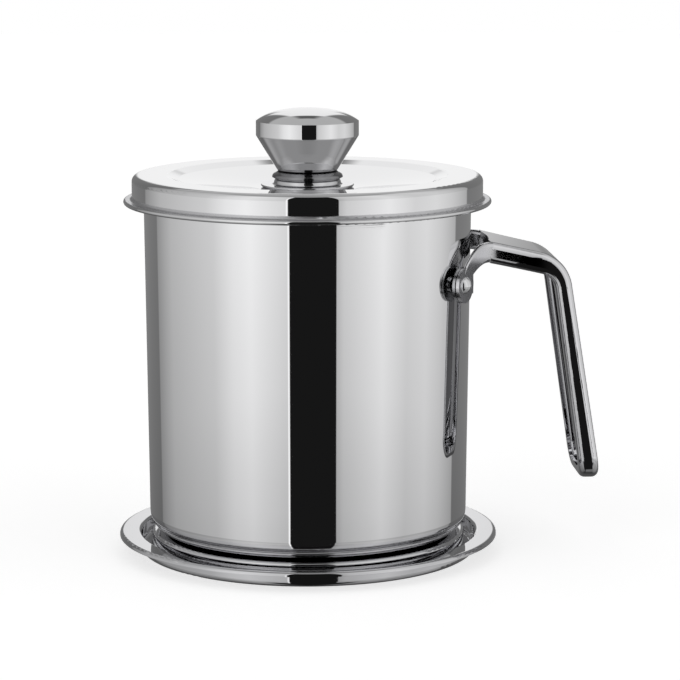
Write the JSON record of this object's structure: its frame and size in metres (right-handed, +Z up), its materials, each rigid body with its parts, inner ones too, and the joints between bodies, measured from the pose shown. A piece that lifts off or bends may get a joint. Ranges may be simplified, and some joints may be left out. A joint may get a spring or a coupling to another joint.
{
  "type": "bacon grease container",
  "caption": "Round steel grease pot with a channel handle, a lift-out mesh strainer, a flanged lid with a flared knob, and a shallow drip tray under it.",
  "frame": {"origin": "on the pot's axis, on the surface that the tray stands on", "axes": "+Z up, +X from the pot's axis towards the handle, +Y across the handle"},
  "size_m": [0.1774, 0.14, 0.1638],
  "materials": {
    "polished_steel": "mirror polished",
    "wire_cloth": "woven wire",
    "plain_steel": "plain"
  },
  "bodies": {
    "tray": {"tray": "polished_steel"},
    "pot": {"pot_body": "polished_steel", "handle_bracket": "polished_steel", "handle": "polished_steel", "handle_rivets": "polished_steel"},
    "strainer": {"strainer_collar": "polished_steel", "strainer_mesh": "wire_cloth", "strainer_ring": "polished_steel"},
    "lid": {"lid_shell": "polished_steel", "knob_base": "polished_steel", "knob_collar": "polished_steel", "knob_body": "polished_steel", "knob_cap": "polished_steel", "knob_insert": "plain_steel", "knob_screw": "plain_steel", "lock_washer": "plain_steel", "flat_washer": "plain_steel"}
  },
  "joints": [
    {"name": "pot_lift", "type": "slide", "parent": "tray", "child": "pot", "axis": [0, 0, 1], "range_m": [0, 0.04]},
    {"name": "strainer_lift", "type": "slide", "parent": "pot", "child": "strainer", "axis": [0, 0, 1], "range_m": [0, 0.06]},
    {"name": "lid_lift", "type": "slide", "parent": "strainer", "child": "lid", "axis": [0, 0, 1], "range_m": [0, 0.06]}
  ]
}
